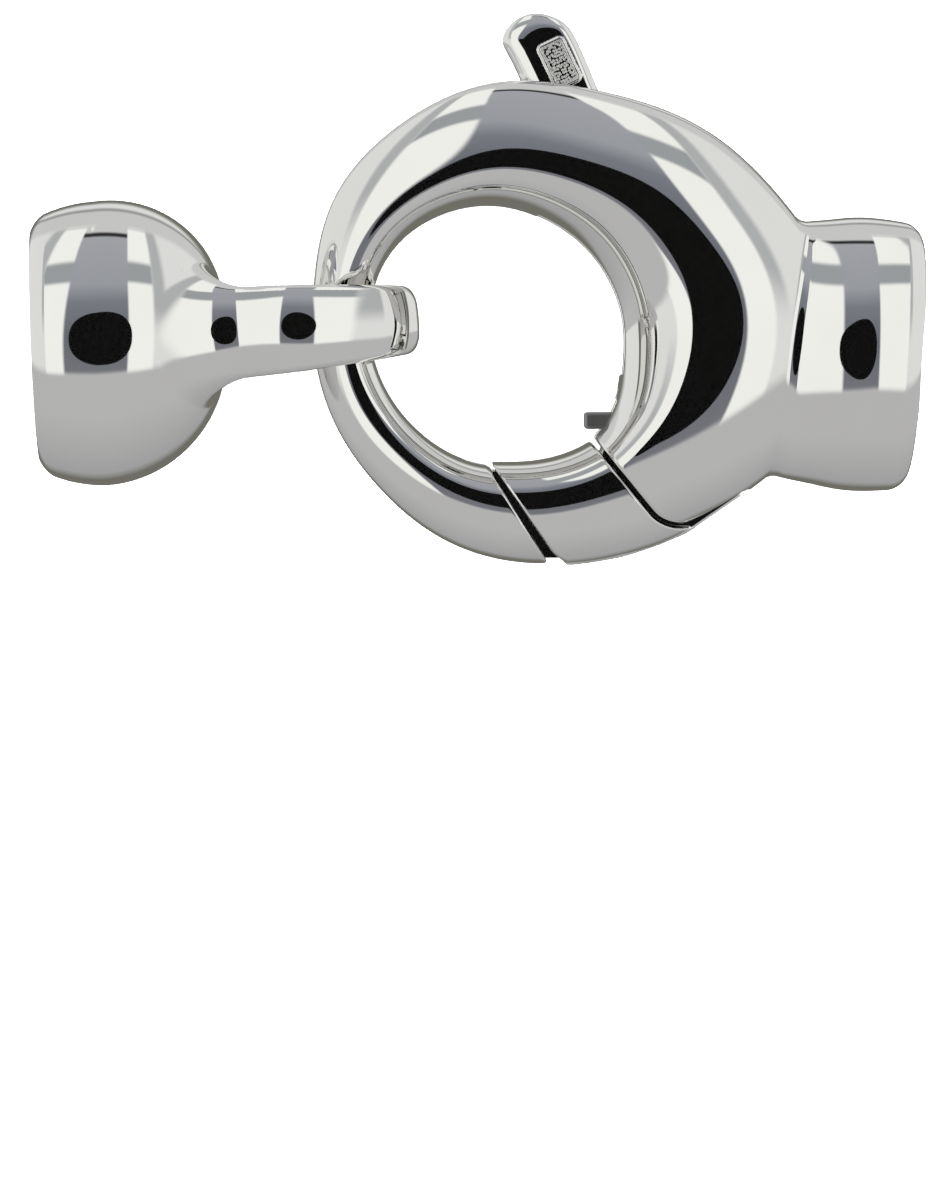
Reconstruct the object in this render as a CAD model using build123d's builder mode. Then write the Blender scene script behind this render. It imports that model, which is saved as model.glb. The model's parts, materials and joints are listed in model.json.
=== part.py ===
from build123d import *
import os
from collections import namedtuple
from math import cos, degrees, radians, sin, sqrt

# A round trigger clasp in polished white metal, for the two ends of a strand.
# A crescent ring with a fixed claw and a cup is one casting. A lever turns on a hidden pin: its
# gate closes the foot of the ring, and its tab stands out at the top. A second cup is hooked on
# the ring's left arm by its bail.
# Lengths are in millimetres, and places in the ring's plane are shares of the ring's radius.
# Until the last lines the ring's middle plane is XY and the centre of its outer circle is the
# origin. +X runs along the strand, and +Z is the side that is looked at.

os.makedirs("parts", exist_ok=True)

# Ring
ring_radius = 9.4  # outer outline, where the ring is thin
hole_radius = 4.92
hole_centre = Vector(-0.2234, -0.0745) * ring_radius
body_half_depth = 4.3  # at the crest beside the cup

# Right-hand cup, cast with the ring
body_cup_centre = Vector(1.2638, -0.1511) * ring_radius  # on its axis, level with the widest section
body_cup_turn = -3.4  # degrees, its axis falls to the right
body_cup_half_height = 5.27
body_cup_half_depth = 4.3
body_cup_length = 4.8  # groove to rim
body_socket_radius = 3.1
body_socket_depth = 2.3
body_well_radius = 1.9

# Lever
slot_half_width = 1.2
slot_gap = 0.15  # lever plate to each cheek of the ring
lever_clearance = 0.3  # around the lever's outline, over its whole travel
open_angle = 16.0
pivot = Vector(0.5681, -0.3372) * ring_radius
hub_radius = 1.5
spine_inset = 0.35  # from the wall of the hole
spine_width = 2.2
spine_from = -14  # degrees round the hole
spine_to = 66
tang_angle = 185  # degrees round the pivot, where its upper edge leaves the hub
tab_width = 2.65
tab_lean = 25.5  # degrees to the left of upright
tab_tip = Vector(-0.0489, 1.2479) * ring_radius  # top of its rounded end
tab_edge = 0.45  # rounding of its rim
tang_rise = 0.55  # its upper corner at the hole, above the seam

# Seams of the gate
claw_seam_at = Vector(-0.2426, -0.5926) * ring_radius  # gate's corner beside the claw, at the hole
claw_seam_angle = -54.9
claw_seam_flare = 2.0  # degrees, the gap opens outwards
body_seam_at = Vector(0.2511, -0.5766) * ring_radius
body_seam_angle = -50.9
seam_gap = 0.3

# Pin and spring
pin_radius = 0.75
pin_half_length = 3.2
pin_fit = 0.01
pin_running = 0.03
spring_tip = Vector(0.1415, -0.4223) * ring_radius
spring_height = 0.65
spring_width = 1.0
spring_seat = 0.7  # how far its leg goes into the hub
spring_clearance = 0.05
spring_air = 0.12

# End cap
cap_cup_radius = 5.45
cap_wall_arc = 4.7  # radius of the cup's side profile
cap_mouth = 2.55  # rim to the widest section
cap_rim_round = 0.55
dome_flat = 0.4  # radius of the flat between the bail's roots
cap_socket_radius = 4.2
cap_socket_depth = 2.4
cap_well_radius = 2.4
bail_neck = 4.1  # widest section of the cup to the bail's waist
bail_neck_half_depth = 3.8
bail_half_depth = 4.9
bail_drop = 0.4  # crest to the shoulder of the far end
bail_thickness = 0.9
bail_root_half_width = 1.95
bail_half_width = 1.72  # at its crest
bail_end_half_width = 1.1
bail_corner = 1.3
bail_edge = 0.2
bail_root = 0.7  # how far its strips reach into the cup
cap_turn = 4.4  # degrees, the bail's end is up in the picture
arm_in_bail = 9.33  # widest section of the cup to the middle of the ring's arm
arm_to_bail_end = 3.02
arm_at = Vector(-0.8511, -0.0319) * ring_radius  # middle of the ring's arm

# Both sockets have a well in their floor, with a bar across it for the thread
well_depth = 1.3
thread_bar_radius = 0.4
thread_bar_drop = 0.6  # from the socket's floor down to the middle of the bar

# Sections of the ring on rays from the hole's middle. The inner and outer edges are shares of the
# hole's radius and the ring's radius, the depth a share of the body's, the crest's place a share
# of the way outwards, and the upright part of the outer wall a share of the depth.
RingSection = namedtuple("RingSection", "angle inner outer depth crest wall")

body_sections = [
    RingSection(-56, 1.10, 1.03, 0.86, 0.44, 0.30),
    RingSection(-42, 1.09, 1.12, 0.93, 0.46, 0.32),
    RingSection(-28, 1.06, 1.25, 0.98, 0.46, 0.32),
    RingSection(-10, 1.00, 1.37, 1.00, 0.46, 0.32),
    RingSection(8, 0.98, 1.40, 1.00, 0.46, 0.34),
    RingSection(24, 0.97, 1.325, 1.00, 0.47, 0.38),
    RingSection(44, 0.97, 1.215, 1.00, 0.49, 0.45),
    RingSection(66, 0.98, 1.10, 0.98, 0.47, 0.52),
    RingSection(90, 1.01, 1.04, 0.93, 0.45, 0.55),
    RingSection(114, 1.03, 0.95, 0.82, 0.43, 0.46),
    RingSection(138, 1.04, 0.87, 0.65, 0.41, 0.32),
    RingSection(162, 1.01, 0.775, 0.48, 0.40, 0.20),
    RingSection(186, 0.97, 0.742, 0.43, 0.40, 0.12),
    RingSection(210, 0.95, 0.75, 0.46, 0.39, 0.10),
    RingSection(234, 0.96, 0.787, 0.54, 0.38, 0.10),
    RingSection(258, 1.00, 0.87, 0.62, 0.37, 0.10),
    RingSection(282, 1.03, 0.955, 0.66, 0.37, 0.10),
]
gate_sections = [
    RingSection(-102, 1.00, 0.87, 0.63, 0.37, 0.10),
    RingSection(-88, 0.99, 0.925, 0.66, 0.37, 0.10),
    RingSection(-74, 1.02, 0.98, 0.69, 0.36, 0.10),
    RingSection(-60, 1.07, 1.045, 0.74, 0.36, 0.10),
    RingSection(-46, 1.12, 1.125, 0.80, 0.38, 0.10),
    RingSection(-33, 1.16, 1.20, 0.82, 0.40, 0.10),
]

# Stations along the right-hand cup. Along is a share of its length from the groove, height and
# depth are shares of its widest section.
CupStation = namedtuple("CupStation", "along height depth")

body_cup_stations = [
    CupStation(-0.30, 0.86, 0.60),
    CupStation(0.00, 0.933, 0.80),
    CupStation(0.22, 0.965, 0.91),
    CupStation(0.55, 1.000, 1.00),
    CupStation(0.78, 0.985, 0.975),
    CupStation(0.93, 0.935, 0.905),
    CupStation(1.00, 0.875, 0.82),
]
cup_crest_along = 0.55


def turned(angle):
    """A unit vector in the ring's plane."""
    return Vector(cos(radians(angle)), sin(radians(angle)))


def ring_point(row, share):
    """A point on the row's ray, a share of the way from the hole's edge to the outer edge."""
    inner = hole_radius * row.inner
    outer = ring_radius * row.outer
    return hole_centre + turned(row.angle) * (inner + (outer - inner) * share)


def ring_section(row):
    """One section: a half ellipse towards the hole, and an upright wall with rounded shoulders."""
    inner = hole_radius * row.inner
    outer = ring_radius * row.outer
    crest = inner + (outer - inner) * row.crest
    depth = body_half_depth * row.depth
    wall = depth * row.wall
    plane = Plane(hole_centre, x_dir=turned(row.angle), z_dir=turned(row.angle - 90))
    with BuildSketch(plane) as outline:
        with BuildLine():
            EllipticalCenterArc((crest, 0), crest - inner, depth, 90, arc_size=180)
            EllipticalCenterArc((crest, -wall), outer - crest, depth - wall, 270, arc_size=90)
            Line((outer, -wall), (outer, wall))
            EllipticalCenterArc((crest, wall), outer - crest, depth - wall, 0, arc_size=90)
        make_face()
    return outline.sketch


def cup_section(station):
    """One oval section of the right-hand cup."""
    reach = (station.along - cup_crest_along) * body_cup_length
    plane = Plane(
        body_cup_centre + turned(body_cup_turn) * reach,
        x_dir=turned(body_cup_turn + 90),
        z_dir=turned(body_cup_turn),
    )
    with BuildSketch(plane) as outline:
        Ellipse(body_cup_half_height * station.height, body_cup_half_depth * station.depth)
    return outline.sketch


def beyond(start, angle, reach):
    """A point on the line through start, at an angle."""
    return start + turned(angle) * reach


def thread_bar_plane(rim, depth, radius):
    """Start of the bar that crosses the well of a socket, for the thread."""
    return Plane(
        rim.origin - rim.z_dir * (depth + thread_bar_drop) - rim.x_dir * (radius + thread_bar_radius),
        x_dir=rim.z_dir,
        z_dir=rim.x_dir,
    )


# Outline of the zone that the gate fills, between its two seams
far = 2 * ring_radius
gate_corners = [
    beyond(claw_seam_at, claw_seam_angle, -hole_radius / 2),
    beyond(claw_seam_at, claw_seam_angle, far),
    beyond(body_seam_at, body_seam_angle, far) + turned(body_seam_angle - 90) * seam_gap,
    beyond(body_seam_at, body_seam_angle, -hole_radius / 4) + turned(body_seam_angle - 90) * seam_gap,
]
claw_face_angle = claw_seam_angle - claw_seam_flare
claw_face_at = claw_seam_at + turned(claw_seam_angle - 90) * seam_gap
opening_corners = [
    beyond(claw_face_at, claw_face_angle, -hole_radius / 2),
    beyond(claw_face_at, claw_face_angle, far),
    beyond(body_seam_at, body_seam_angle, far),
    beyond(body_seam_at, body_seam_angle, -hole_radius / 3),
]

body_rim = Plane(
    body_cup_centre + turned(body_cup_turn) * (1 - cup_crest_along) * body_cup_length,
    x_dir=turned(body_cup_turn + 90),
    z_dir=turned(body_cup_turn),
)

# Flat outline of the lever's plate, which runs in the slot of the ring
lever_half_width = slot_half_width - slot_gap
spine_inner = hole_radius + spine_inset
tab_axis = turned(90 + tab_lean)
tab_middle = tab_tip - Vector(0, tab_width / 2)
tab_root = tab_middle - tab_axis * (tab_tip.Y - hole_centre.Y - spine_inner - spine_width / 2)
tang_rows = [row for row in gate_sections if row.angle >= -74]
tang_edge = [ring_point(row, 1.0) for row in tang_rows]
tang_corner = body_seam_at + Vector(-lever_clearance, tang_rise)

with BuildSketch() as lever_outline:
    with Locations(pivot):
        Circle(hub_radius)
    with BuildLine():  # spine, a band beside the hole
        low = beyond(hole_centre, spine_from, spine_inner)
        high = beyond(hole_centre, spine_to, spine_inner)
        low_outer = beyond(hole_centre, spine_from, spine_inner + spine_width)
        high_outer = beyond(hole_centre, spine_to, spine_inner + spine_width)
        ThreePointArc(low, beyond(hole_centre, (spine_from + spine_to) / 2, spine_inner), high)
        Line(high, high_outer)
        ThreePointArc(
            high_outer,
            beyond(hole_centre, (spine_from + spine_to) / 2, spine_inner + spine_width),
            low_outer,
        )
        Line(low_outer, low)
    make_face()
    with BuildLine():  # tang, from the hub to the gate and the outer edge
        Spline(*tang_edge)
        Line(tang_edge[-1], pivot + Vector(hub_radius, 0))
        Line(pivot + Vector(hub_radius, 0), pivot + turned(tang_angle) * hub_radius)
        Line(pivot + turned(tang_angle) * hub_radius, tang_corner)
        Line(tang_corner, tang_edge[0])
    make_face()
    with BuildLine():  # stem of the tab
        side = turned(tab_lean) * (tab_width / 2)
        Polyline(tab_middle - side, tab_root - side, tab_root + side, tab_middle + side, close=True)
    make_face()
    with Locations(tab_middle):
        Circle(tab_width / 2)

# Leg of the return spring, seen from the front
spring_end = pivot + Vector(-hub_radius + spring_seat, 0)
spring_length = spring_end.X - spring_tip.X
spring_middle = Vector((spring_end.X + spring_tip.X) / 2, spring_tip.Y)

with BuildPart() as return_spring:
    with BuildSketch(Plane.XY.offset(-spring_width / 2)):
        with Locations(spring_middle):
            Rectangle(spring_length, spring_height)
    extrude(amount=spring_width)

with BuildPart() as trigger_lever:
    loft(sections=[ring_section(row) for row in gate_sections])
    with BuildSketch(Plane.XY.offset(-far)):
        with BuildLine():
            Polyline(*gate_corners, close=True)
        make_face()
    extrude(amount=2 * far, mode=Mode.INTERSECT)
    extrude(lever_outline.sketch, amount=lever_half_width, both=True)
    with BuildSketch(Plane.XY.offset(-far)):
        with BuildLine():  # the claw's side of the seam stays clear of the plate
            Polyline(
                gate_corners[0],
                gate_corners[1],
                gate_corners[1] - Vector(far, 0),
                gate_corners[0] - Vector(far / 2, 0),
                close=True,
            )
        make_face()
    extrude(amount=2 * far, mode=Mode.SUBTRACT)
    with BuildSketch(Plane.XY.offset(-far)):
        with Locations(pivot):
            Circle(pin_radius + pin_running)
    extrude(amount=2 * far, mode=Mode.SUBTRACT)
    with BuildSketch(Plane.XY.offset(-spring_width / 2 - spring_clearance)):
        with Locations(spring_middle):
            Rectangle(spring_length + 2 * spring_clearance, spring_height + 2 * spring_clearance)
    extrude(amount=spring_width + 2 * spring_clearance, mode=Mode.SUBTRACT)

    rim = trigger_lever.edges().filter_by(
        lambda edge: edge.center().Y > ring_radius and abs(edge.center().Z) > lever_half_width / 2
    )
    fillet(rim, tab_edge)

with BuildPart() as pivot_pin:
    with BuildSketch(Plane.XY.offset(-pin_half_length)):
        with Locations(pivot):
            Circle(pin_radius)
    extrude(amount=2 * pin_half_length)



def opened(point):
    """Where a point of the lever is when the lever is open."""
    return pivot + (point - pivot).rotate(Axis.Z, -open_angle)


# Room that the plate sweeps, with clearance round it. Where the hole or the seam lies next to the
# room, its edge is anywhere in that space.
hub_room = hub_radius + lever_clearance
spine_reach = spine_inner + spine_width + lever_clearance
spine_top = spine_to + 4
spine_foot = spine_from - 3
free = 0.6 * hole_radius  # inside the hole
stem_side = turned(tab_lean) * (tab_width / 2 + lever_clearance)
tang_room_top = pivot + Vector(hub_room, 0)
tang_room_foot = tang_edge[-1] + Vector(lever_clearance, 0)

with BuildSketch() as lever_room:
    with Locations(pivot):
        Circle(hub_room)
    with BuildLine():  # spine
        Polyline(
            beyond(hole_centre, spine_foot, free),
            beyond(hole_centre, spine_top, free),
            beyond(hole_centre, spine_top, spine_reach),
            opened(beyond(hole_centre, spine_top, spine_reach)),
        )
        ThreePointArc(
            opened(beyond(hole_centre, spine_top, spine_reach)),
            opened(beyond(hole_centre, (spine_top + spine_foot) / 2, spine_reach)),
            opened(beyond(hole_centre, spine_foot, spine_reach)),
        )
        Line(opened(beyond(hole_centre, spine_foot, spine_reach)), beyond(hole_centre, spine_foot, free))
    make_face()
    with BuildLine():  # stem of the tab
        Polyline(
            tab_root - stem_side - tab_axis,
            tab_root - stem_side + tab_axis * far,
            opened(tab_root + stem_side + tab_axis * far),
            opened(tab_root + stem_side - tab_axis),
            close=True,
        )
    make_face()
    with BuildLine():  # tang
        Polyline(
            pivot + turned(tang_angle - open_angle) * hub_room,
            opened(tang_corner) + Vector(-lever_clearance, lever_clearance),
            beyond(hole_centre, -60, free),
            beyond(body_seam_at, body_seam_angle - 20, hole_radius),
            beyond(body_seam_at, body_seam_angle, far),
            tang_room_foot + (tang_room_foot - tang_room_top),
            tang_room_top,
            close=True,
        )
    make_face()

spring_low = Vector(spring_tip.X, spring_tip.Y - spring_height / 2 - spring_air)
spring_high = Vector(spring_tip.X, spring_tip.Y + spring_height / 2 + spring_air)
with BuildSketch() as spring_room:
    with BuildLine():
        Polyline(
            Vector(pivot.X, spring_low.Y),
            spring_low,
            opened(spring_high),
            opened(Vector(pivot.X, spring_high.Y)),
            close=True,
        )
    make_face()

with BuildPart() as clasp_body:
    loft(sections=[ring_section(row) for row in body_sections])
    loft(sections=[cup_section(station) for station in body_cup_stations])
    with BuildSketch(Plane.XY.offset(-far)):
        with BuildLine():
            Polyline(*opening_corners, close=True)
        make_face()
    extrude(amount=2 * far, mode=Mode.SUBTRACT)
    extrude(lever_room.sketch, amount=slot_half_width, both=True, mode=Mode.SUBTRACT)
    extrude(spring_room.sketch, amount=spring_width / 2 + spring_air, both=True, mode=Mode.SUBTRACT)
    with BuildSketch(Plane.XY.offset(-pin_half_length - pin_fit)):
        with Locations(pivot):
            Circle(pin_radius + pin_fit)
    extrude(amount=2 * (pin_half_length + pin_fit), mode=Mode.SUBTRACT)
    with BuildSketch(body_rim):
        Circle(body_socket_radius)
    extrude(amount=-body_socket_depth, mode=Mode.SUBTRACT)
    with BuildSketch(body_rim.offset(-body_socket_depth)):
        Circle(body_well_radius)
    extrude(amount=-well_depth, mode=Mode.SUBTRACT)
    with BuildSketch(thread_bar_plane(body_rim, body_socket_depth, body_well_radius)):
        Circle(thread_bar_radius)
    extrude(amount=2 * (body_well_radius + thread_bar_radius))

# The end cap is drawn along +X with the middle of its widest section at the origin.
wall_centre = cap_cup_radius - cap_wall_arc
cap_rim_radius = wall_centre + sqrt(cap_wall_arc**2 - cap_mouth**2)
cap_rim = Plane((-cap_mouth, 0, 0), x_dir=(0, 1, 0), z_dir=(-1, 0, 0))
bail_end = arm_in_bail + arm_to_bail_end
bail_crest = (bail_neck + arm_in_bail) / 2 + bail_thickness
dome_reach = sqrt(cap_wall_arc**2 - (wall_centre - dome_flat) ** 2)


def half_loop(left, neck, crest, corner, right):
    """Upper half of the bail's side profile: a waist, a crest and a rounded far end."""
    shoulder = Vector(right - corner, crest - bail_drop)
    with BuildSketch() as profile:
        with BuildLine():
            Line((left, 0), (left, neck))
            Line((left, neck), (bail_neck, neck))
            Spline((bail_neck, neck), (bail_crest, crest), tangents=((1, 0), (1, 0)))
            Spline((bail_crest, crest), shoulder, (right, shoulder.Y - corner), tangents=((1, 0), (0, -1)))
            Line((right, shoulder.Y - corner), (right, 0))
            Line((right, 0), (left, 0))
        make_face()
    return profile.sketch


with BuildPart() as bail:
    with BuildSketch(Plane.XZ):
        add(half_loop(bail_neck - bail_root, bail_neck_half_depth, bail_half_depth, bail_corner, bail_end))
        add(
            half_loop(
                dome_reach - bail_root,
                bail_neck_half_depth - bail_thickness,
                bail_half_depth - bail_thickness,
                bail_corner - bail_thickness / 2,
                bail_end - bail_thickness,
            ),
            mode=Mode.SUBTRACT,
        )
        mirror(about=Plane.XZ)
    extrude(amount=cap_cup_radius, both=True)
    with BuildSketch(Plane.XY.offset(-cap_cup_radius)):  # the strips narrow towards the far end
        with BuildLine():
            side = ThreePointArc(
                (0, bail_root_half_width), (bail_crest, bail_half_width), (bail_end, bail_end_half_width)
            )
            Line(side @ 1, (bail_end, 0))
            Line((bail_end, 0), (0, 0))
            Line((0, 0), side @ 0)
        make_face()
        mirror(about=Plane.XZ)
    extrude(amount=2 * cap_cup_radius, mode=Mode.INTERSECT)
    fillet(bail.faces().filter_by(lambda face: abs(face.normal_at().Y) > 0.8).edges(), bail_edge)

with BuildPart() as end_cap:
    with BuildSketch():
        with BuildLine():
            wall = ThreePointArc((-cap_mouth, cap_rim_radius), (0, cap_cup_radius), (dome_reach, dome_flat))
            Line(wall @ 1, (dome_reach, 0))
            Line((dome_reach, 0), (-cap_mouth, 0))
            Line((-cap_mouth, 0), wall @ 0)
        make_face()
    revolve(axis=Axis.X)
    fillet(end_cap.faces().sort_by(Axis.X)[0].edges(), cap_rim_round)
    add(bail.part)
    with BuildSketch(cap_rim):
        Circle(cap_socket_radius)
    extrude(amount=-cap_socket_depth, mode=Mode.SUBTRACT)
    with BuildSketch(cap_rim.offset(-cap_socket_depth)):
        Circle(cap_well_radius)
    extrude(amount=-well_depth, mode=Mode.SUBTRACT)
    with BuildSketch(thread_bar_plane(cap_rim, cap_socket_depth, cap_well_radius)):
        Circle(thread_bar_radius)
    extrude(amount=2 * (cap_well_radius + thread_bar_radius))

# The ring lies on its back, and the cap on its cup and on its bail's back, so it leans a little.
cap_lean = 4.0
for step in range(4):
    foot = (Rot(0, cap_lean, 0) * bail.part).bounding_box().min.Z
    belly = -cap_wall_arc - wall_centre * cos(radians(cap_lean))
    cap_lean -= degrees((belly - foot) / arm_in_bail)
cap_height = -belly - arm_in_bail * sin(radians(cap_lean))
lie = Pos(0, 0, -clasp_body.part.bounding_box().min.Z)
hang = Pos(arm_at.X, arm_at.Y, cap_height) * Rot(0, 0, cap_turn) * Rot(0, cap_lean, 0)
print("lean of the cap", cap_lean, "its height at the arm", cap_height)

clasp_body.part.label = "clasp_body"
trigger_lever.part.label = "trigger_lever"
pivot_pin.part.label = "pivot_pin"
return_spring.part.label = "return_spring"
end_cap.part.label = "end_cap"
placed = {
    "clasp_body": lie * clasp_body.part,
    "trigger_lever": lie * trigger_lever.part,
    "pivot_pin": lie * pivot_pin.part,
    "return_spring": lie * return_spring.part,
    "end_cap": hang * Pos(-arm_in_bail) * end_cap.part,
}

# The origin is below the middle of the whole clasp, on the surface that it lies on.
box = Compound(children=[piece.moved(Location()) for piece in placed.values()]).bounding_box()
centre = Pos(-box.center().X, -box.center().Y, -box.min.Z)
for name, piece in placed.items():
    shape = centre * piece
    shape.label = name
    export_step(shape, f"parts/{name}.step")

# Places that the record states
for name, place in (
    ("lever pivot", centre * lie * Pos(pivot.X, pivot.Y, 0)),
    ("ring arm", centre * lie * Pos(arm_at.X, arm_at.Y, 0)),
    ("hole", centre * lie * Pos(hole_centre.X, hole_centre.Y, 0)),
    ("body socket", centre * lie * body_rim.location),
    ("cap socket", centre * hang * Pos(-arm_in_bail) * cap_rim.location),
):
    print(name, place.position, place.z_axis.direction)
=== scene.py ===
import json
from math import cos, pi, radians, sin

import bpy
import numpy as np
from mathutils import Matrix


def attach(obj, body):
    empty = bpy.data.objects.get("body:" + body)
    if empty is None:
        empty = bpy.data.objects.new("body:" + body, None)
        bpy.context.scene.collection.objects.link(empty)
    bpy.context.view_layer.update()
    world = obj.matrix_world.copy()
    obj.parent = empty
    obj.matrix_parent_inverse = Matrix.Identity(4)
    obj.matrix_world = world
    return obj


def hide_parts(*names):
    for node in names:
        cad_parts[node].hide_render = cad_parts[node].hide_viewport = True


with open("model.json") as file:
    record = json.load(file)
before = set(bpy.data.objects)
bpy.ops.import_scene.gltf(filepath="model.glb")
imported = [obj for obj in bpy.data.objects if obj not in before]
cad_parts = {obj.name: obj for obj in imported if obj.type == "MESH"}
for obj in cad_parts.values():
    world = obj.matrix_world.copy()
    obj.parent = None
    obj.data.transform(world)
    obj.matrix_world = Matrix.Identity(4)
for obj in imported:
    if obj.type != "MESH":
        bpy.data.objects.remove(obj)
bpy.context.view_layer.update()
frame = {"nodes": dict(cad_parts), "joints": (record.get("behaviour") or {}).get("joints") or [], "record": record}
print("frame loaded:", sorted(frame["nodes"]))

# Shapes are worked out in millimetres in the ring's own frame: its outer circle is round the
# origin, its middle plane is z = 0, and the cap has a frame along its own axis.
joints = {joint["name"]: joint for joint in frame["joints"]}
mounts = {mount["name"]: mount for mount in frame["record"]["mounts"]}
ringRadius = 9.4
holeRadius = 4.92
holeMiddle = np.array([-2.1, -0.7])
pivot = np.array([0.5681, -0.3372]) * ringRadius
ringShift = np.array(joints["lever_swing"]["pos_m"]) * 1000 - np.array([pivot[0], pivot[1], 0])


def heading(angle):
    return np.array([cos(radians(angle)), sin(radians(angle))])


def fromHole(angle, reach):
    return holeMiddle + heading(angle) * reach


def smoothTable(places, rows):  # natural cubic curves through the columns of a table
    places = np.array(places, float)
    rows = np.array(rows, float)
    count = len(places)
    gaps = np.diff(places)
    slopes = np.diff(rows, axis=0) / gaps[:, None]
    matrix = np.eye(count)
    right = np.zeros_like(rows)
    for i in range(1, count - 1):
        matrix[i, i - 1:i + 2] = gaps[i - 1], 2 * (gaps[i - 1] + gaps[i]), gaps[i]
        right[i] = 6 * (slopes[i] - slopes[i - 1])
    bends = np.linalg.solve(matrix, right)

    def valuesAt(x):
        x = np.clip(x, places[0], places[-1])
        i = np.clip(np.searchsorted(places, x) - 1, 0, count - 2)
        gap = gaps[i][:, None]
        before = (x - places[i])[:, None]
        after = gap - before
        low, high = bends[i], bends[i + 1]
        return ((low * after ** 3 + high * before ** 3) / (6 * gap)
                + (rows[i] / gap - low * gap / 6) * after
                + (rows[i + 1] / gap - high * gap / 6) * before).T
    return valuesAt


# Distances and shapes are negative inside, and take whole arrays of points
def oval(x, y, a, b, full=2.0):  # distance to an oval, near enough beside its edge
    x, y = np.maximum(np.abs(x), 1e-9), np.maximum(np.abs(y), 1e-9)
    share = ((x / a) ** full + (y / b) ** full) ** (1 / full)
    steep = np.hypot((x / a) ** (full - 1) / a, (y / b) ** (full - 1) / b) * share ** (1 - full)
    return (share - 1) / np.maximum(steep, 1e-9)


def joined(a, b, radius):  # both shapes, with a hollow fillet where they meet
    near = np.hypot(np.minimum(a - radius, 0), np.minimum(b - radius, 0))
    return np.maximum(radius, np.minimum(a, b)) - near


def shared(a, b, radius):  # what both shapes hold, with a rounded edge
    return -joined(-a, -b, radius)


def halfPlane(x, y, at, angle):  # positive to the right of a line through a point
    way = heading(angle - 90)
    return (x - at[0]) * way[0] + (y - at[1]) * way[1]


def stroke(x, y, a, b):  # distance to a line between two points
    ex, ey = b[0] - a[0], b[1] - a[1]
    t = np.clip(((x - a[0]) * ex + (y - a[1]) * ey) / (ex * ex + ey * ey), 0, 1)
    return np.hypot(x - a[0] - ex * t, y - a[1] - ey * t)


def flatShape(corners, x, y):  # distance to a closed outline, negative inside
    nearest = np.full(x.shape, 1e9)
    inside = np.zeros(x.shape, bool)
    corners = [tuple(corner) for corner in corners]
    for (ax, ay), (bx, by) in zip(corners, corners[1:] + corners[:1]):
        ex, ey = bx - ax, by - ay
        wx, wy = x - ax, y - ay
        t = np.clip((wx * ex + wy * ey) / (ex * ex + ey * ey), 0, 1)
        nearest = np.minimum(nearest, (wx - ex * t) ** 2 + (wy - ey * t) ** 2)
        if by != ay:
            inside ^= ((ay > y) != (by > y)) & (x < ax + wy / ey * ex)
    return np.where(inside, -1, 1) * np.sqrt(nearest)


def curveShape(turns, x, y, steps=160, rounds=3):  # distance to a smooth closed curve, negative inside
    count = len(turns)
    looped = [turns[i % count] for i in range(-3, count + 4)]
    curve = smoothTable(range(-3, count + 4), looped)
    area = sum(a[0] * b[1] - a[1] * b[0] for a, b in zip(turns, turns[1:] + turns[:1]))
    t = np.arange(steps) * count / steps
    cx, cy = curve(t)
    best = np.zeros(x.shape, int)
    nearest = np.full(x.shape, 1e9)
    for i in range(steps):
        reach = (x - cx[i]) ** 2 + (y - cy[i]) ** 2
        closer = reach < nearest
        best[closer] = i
        nearest[closer] = reach[closer]
    t = best * count / steps
    small = 1e-3
    for i in range(rounds):
        px, py = curve(t)
        ax, ay = curve(t + small)
        bx, by = curve(t - small)
        vx, vy = (ax - bx) / (2 * small), (ay - by) / (2 * small)
        sx, sy = (ax - 2 * px + bx) / small ** 2, (ay - 2 * py + by) / small ** 2
        down = (px - x) * vx + (py - y) * vy
        bend = vx ** 2 + vy ** 2 + (px - x) * sx + (py - y) * sy
        t = t - np.clip(down / np.maximum(bend, 0.2 * (vx ** 2 + vy ** 2)), -0.3, 0.3)
    px, py = curve(t)
    ax, ay = curve(t + small)
    bx, by = curve(t - small)
    side = ((ax - bx) * (y - py) - (ay - by) * (x - px)) * area  # positive inside
    return -np.sign(side) * np.hypot(px - x, py - y)


def slopeOf(shape, points, small=1e-4):
    slope = np.empty_like(points)
    for axis in range(3):
        step = np.zeros(3)
        step[axis] = small
        slope[:, axis] = (shape(*(points + step).T) - shape(*(points - step).T)) / (2 * small)
    return slope


def settled(shape, points, rounds):  # moves points onto the surface
    for i in range(rounds):
        slope = slopeOf(shape, points)
        steep = np.maximum((slope ** 2).sum(1), 0.05)
        move = (shape(*points.T) / steep)[:, None] * slope
        points = points - np.clip(move, -0.1, 0.1)
    return points


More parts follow.
